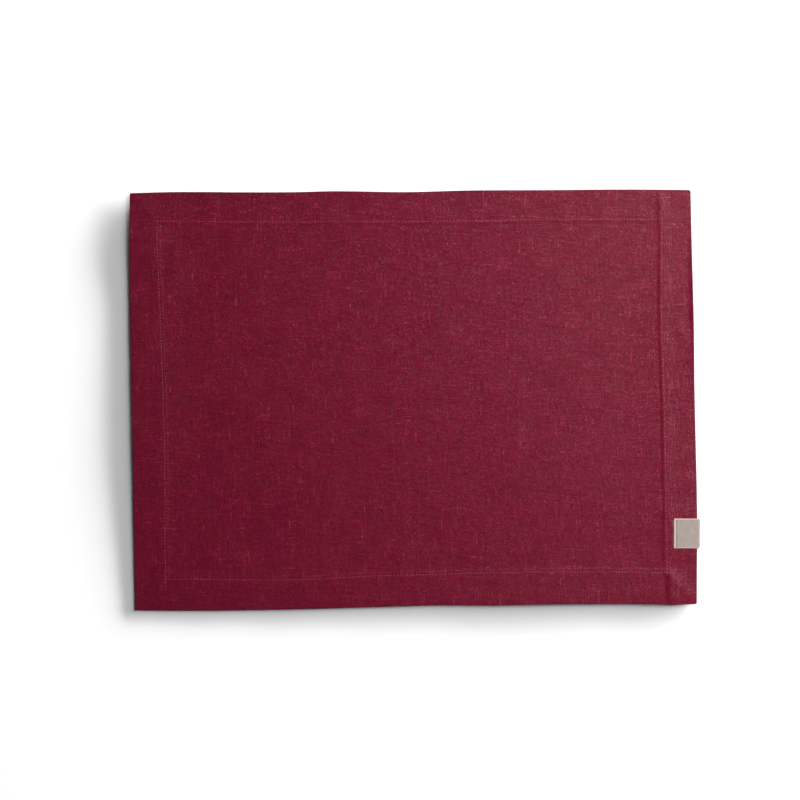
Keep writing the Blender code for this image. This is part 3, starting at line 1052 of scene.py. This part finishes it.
def yarnMaterial(name, look, weave, mottle):
    # what the linen and the tape share: yarns, cloudy dye and relief
    material, tree, shader = newMaterial(name, look["surface"])
    place = addNode(tree, "ShaderNodeUVMap", uv_map="yarns").outputs[0]
    yarns = follow("ShaderNodeGroup", {"Place": place, **look["weave"]}, node_tree=weave)
    dye = {"Place": place, "Patch Size": look["patchSize"]}
    patches = follow("ShaderNodeGroup", dye, node_tree=mottle)["Patches"]
    share = timesPlus(yarns["Tone"], look["toneShare"], look["plainShare"])
    share = timesPlus(patches, look["patchShare"], share)
    feed(shader["Normal"], bumpFrom(yarns["Height"], look["relief"]))
    return material, shader, place, yarns, share


linenFinish = {
    # the upper stops are whiter than the dye: partly painted glints and sheen on the fullest yarns
    "yarnDyeAndGlints": (
        (0.00, (0.066, 0.0000, 0.0040)),  # shaded yarn
        (0.45, (0.126, 0.0008, 0.0152)),  # plain dyed yarn
        (0.80, (0.200, 0.0100, 0.0330)),  # lighter, thicker yarn, whitened a little by painted sheen
        (1.00, (0.300, 0.0420, 0.0760)),  # bare flax flecks, with painted glints
    ),
    "weave": {
        "Warp Pitch": 0.00088,
        "Weft Pitch": 0.00082,
        "Wander": 0.0002,
        "Unevenness": 0.62,
        "Warp Tone": 5.8,
        "Weft Tone": 4.4,
        "Crossing Tone": 2.4,
        "Lowest Tone": -1.7,
        "Tone Rise": 2.8,
    },
    "surface": {"Specular IOR Level": 0.16},
    "relief": 0.00010,
    "plainShare": 0.45,  # where a plain yarn lies between the colours
    "toneShare": 0.072,
    "slubShare": 0.20,
    "fibreShare": 0.20,
    "patchShare": 0.05,
    "patchSize": 0.030,
    "roughness": 0.36,
    "toneRoughness": -0.12,
    "lowestRoughness": 0.15,
}


def linenMaterial(weave, mottle):
    look = linenFinish
    material, shader, _, yarns, share = yarnMaterial("wine linen", look, weave, mottle)
    share = timesPlus(yarns["Slub"], look["slubShare"], share)
    share = timesPlus(yarns["Fibre"], look["fibreShare"], share)
    # dyed yarn colours, with painted glints and sheen at the ramp's upper end
    feed(shader["Base Color"], rampColors(share, look["yarnDyeAndGlints"]))
    roughness = timesPlus(yarns["Tone"], look["toneRoughness"], look["roughness"])
    feed(shader["Roughness"], calc("MAXIMUM", roughness, look["lowestRoughness"]))
    return material


tapeFinish = {
    "dark": (0.170, 0.136, 0.119),
    "light": (0.365, 0.308, 0.274),
    "rim": (0.480, 0.350, 0.330),
    "sideRim": (0.0011, 0.00044),  # the rim fades in between these, in from the side
    "endRim": (0.0021, 0.0014),  # and from the cut end
    "endRimShare": 0.7,
    "weave": {
        "Warp Pitch": 0.00034,
        "Weft Pitch": 0.00042,
        "Wander": 0.0002,
        "Unevenness": 0.35,
        "Warp Tone": 0.7,
        "Weft Tone": 0.7,
        "Crossing Tone": 0.0,
        "Lowest Tone": -3.0,
        "Tone Rise": 0.0,
    },
    "surface": {"Specular IOR Level": 0.22, "Sheen Weight": 0.10, "Sheen Roughness": 0.5},
    "relief": 0.00006,
    "plainShare": 0.5,
    "toneShare": 0.14,
    "patchShare": 0.10,
    "patchSize": 0.006,
    "roughness": 0.62,
    "fibreRoughness": 0.2,
}


def tapeMaterial(weave, mottle, length):
    look = tapeFinish
    material, shader, place, yarns, share = yarnMaterial("greige tape", look, weave, mottle)
    along, across, _ = splitXyz(place)
    fromSide = minus(labelLook["along"] / 2, calc("ABSOLUTE", across))
    fromEnd = calc("MINIMUM", along, minus(length, along))
    sideRim = rampFrom(fromSide, *look["sideRim"])
    endRim = times(rampFrom(fromEnd, *look["endRim"]), look["endRimShare"])
    plain = blendColors(share, look["dark"], look["light"])
    edged = blendColors(calc("MAXIMUM", sideRim, endRim), plain, look["rim"])
    feed(shader["Base Color"], edged)
    feed(shader["Roughness"], timesPlus(yarns["Fibre"], look["fibreRoughness"], look["roughness"]))
    return material


threadFinishes = {
    # the hem thread is lighter and pinker than the cloth: its own paler dye, with painted sheen in its
    # light colour
    "hem thread": {"dark": (0.185, 0.022, 0.042), "light": (0.480, 0.115, 0.150), "roughness": 0.45},
    "tape thread": {"dark": (0.060, 0.010, 0.015), "light": (0.170, 0.065, 0.065), "roughness": 0.5},
    "loose tape fibre": {"dark": (0.300, 0.180, 0.170), "light": (0.560, 0.430, 0.410), "roughness": 0.6},
    "slub yarn": {"dark": (0.120, 0.0040, 0.0190), "light": (0.215, 0.0150, 0.0400), "roughness": 0.50},
}
threadSurface = {
    "specular": 0.12,
    "fleckSize": 0.0011,
    "fleckShare": 0.35,
    "fleckRoughness": 0.08,
    "relief": 0.00003,
}


def threadMaterial(name, mottle):
    look = {**threadSurface, **threadFinishes[name]}
    material, tree, shader = newMaterial(name, {"Specular IOR Level": look["specular"]})
    place = addNode(tree, "ShaderNodeTexCoord").outputs["Object"]
    dye = {"Place": place, "Patch Size": look["fleckSize"]}
    flecks = follow("ShaderNodeGroup", dye, node_tree=mottle)["Patches"]
    share = timesPlus(flecks, look["fleckShare"], 0.5)
    feed(shader["Base Color"], blendColors(share, look["dark"], look["light"]))
    feed(shader["Roughness"], timesPlus(flecks, look["fleckRoughness"], look["roughness"]))
    feed(shader["Normal"], bumpFrom(flecks, look["relief"]))
    return material


stageLook = {
    "floorSize": 24.0,
    "floorLevel": -0.00002,
    "floorColor": (0.54, 0.54, 0.54),
    "floorSurface": {"Roughness": 0.7, "Specular IOR Level": 0.2},
    "grainCells": 60.0,
    "grainShade": 0.985,
    "worldColor": (0.92, 0.95, 1.0),
    "worldStrength": 0.12,
    "lens": 85.0,
    "cameraPlace": (-0.01304, -0.00105, 1.6816),
    "cameraTurnDegrees": -0.65,
}
# Soft lights, all aimed at the middle: place, size and watts
mainLight = {"softbox": ((0.90, 0.46, 0.95), (1.2, 1.1), 43.0)}
floorLights = {
    "floorKey": ((4.02, 2.23, 1.96), (6.9, 4.26), 751.0),
    "floorStrip": ((7.55, 4.88, 0.47), (10.8, 0.84), 22800.0),
}


def layFloor():
    look = stageLook
    half = look["floorSize"] / 2
    mesh = bpy.data.meshes.new("floor")
    corners = [(-half, -half), (half, -half), (half, half), (-half, half)]
    mesh.from_pydata([(x, y, look["floorLevel"]) for x, y in corners], [], [(0, 1, 2, 3)])
    material, tree, shader = newMaterial("pale floor", look["floorSurface"])
    place = addNode(tree, "ShaderNodeTexCoord").outputs["Object"]
    grain = noiseAt(place, look["grainCells"], detail=3.0)[0]
    shaded = tuple(value * look["grainShade"] for value in look["floorColor"])
    feed(shader["Base Color"], blendColors(grain, shaded, look["floorColor"]))
    mesh.materials.append(material)
    return addPiece("floor", mesh)


def addSoftLight(name, place, size, watts, receivers):
    data = bpy.data.lights.new(name, "AREA")
    data.shape = "RECTANGLE"
    data.size, data.size_y = size
    data.energy = watts
    lamp = addPiece(name, data)
    lamp.location = place
    lamp.rotation_euler = lamp.location.to_track_quat("Z", "Y").to_euler()
    lamp.visible_camera = False
    lamp.light_linking.receiver_collection = receivers


def lightTheStage(floor):
    # one softbox lights the mat, and two more shine on the floor alone
    world = bpy.data.worlds.new("studio")
    world.use_nodes = True
    background = world.node_tree.nodes["Background"].inputs
    background["Color"].default_value = (*stageLook["worldColor"], 1.0)
    background["Strength"].default_value = stageLook["worldStrength"]
    bpy.context.scene.world = world
    bpy.context.scene.view_settings.view_transform = "Standard"
    floorAlone = bpy.data.collections.new("the floor alone")
    allButFloor = bpy.data.collections.new("all but the floor")
    for receivers in (floorAlone, allButFloor):
        receivers.objects.link(floor)
    allButFloor.collection_objects[0].light_linking.link_state = "EXCLUDE"
    for name, light in mainLight.items():
        addSoftLight(name, *light, allButFloor)
    for name, light in floorLights.items():
        addSoftLight(name, *light, floorAlone)


def placeCamera():
    lens = bpy.data.cameras.new("overhead camera")
    lens.lens = stageLook["lens"]
    lens.sensor_width = 36.0
    lens.clip_end = 100.0
    camera = addPiece("overhead camera", lens)
    camera.location = stageLook["cameraPlace"]
    camera.rotation_euler = (0.0, 0.0, math.radians(stageLook["cameraTurnDegrees"]))
    bpy.context.scene.camera = camera


floor = layFloor()
lightTheStage(floor)
placeCamera()
print("stage, lights and camera ready")

weave = wovenYarnsGroup()
mottle = mottleGroup()
linen = linenMaterial(weave, mottle)
threads = {name: threadMaterial(name, mottle) for name in threadFinishes}

cloth = makeCloth()
cloth.data.materials.append(linen)
print("cloth:", len(cloth.data.polygons), "faces")

label, tapeLength = makeLabel()
label.data.materials.append(tapeMaterial(weave, mottle, tapeLength))
print("label:", len(label.data.polygons), "faces, strip", round(tapeLength * 1000, 1), "mm long")

stitchRow = stitchTree()
hemSewing = sewHems(cloth, stitchRow, threads["hem thread"])
labelSewing = sewLabel(label, cloth, stitchRow, threads)
slubs = growOn(cloth, 1.0, "slub_yarns", [], slubTree(), slubLook, threads["slub yarn"])
onCloth = [*hemSewing, slubs]
sewnFaces = sum(len(piece.data.polygons) for piece in onCloth + labelSewing)
print("stitches, frays and slubs:", sewnFaces, "faces")

for piece in [cloth, *onCloth]:
    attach(piece, "root")
for piece in [label, *labelSewing]:
    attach(piece, "root")
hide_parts("cloth")
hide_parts("label")
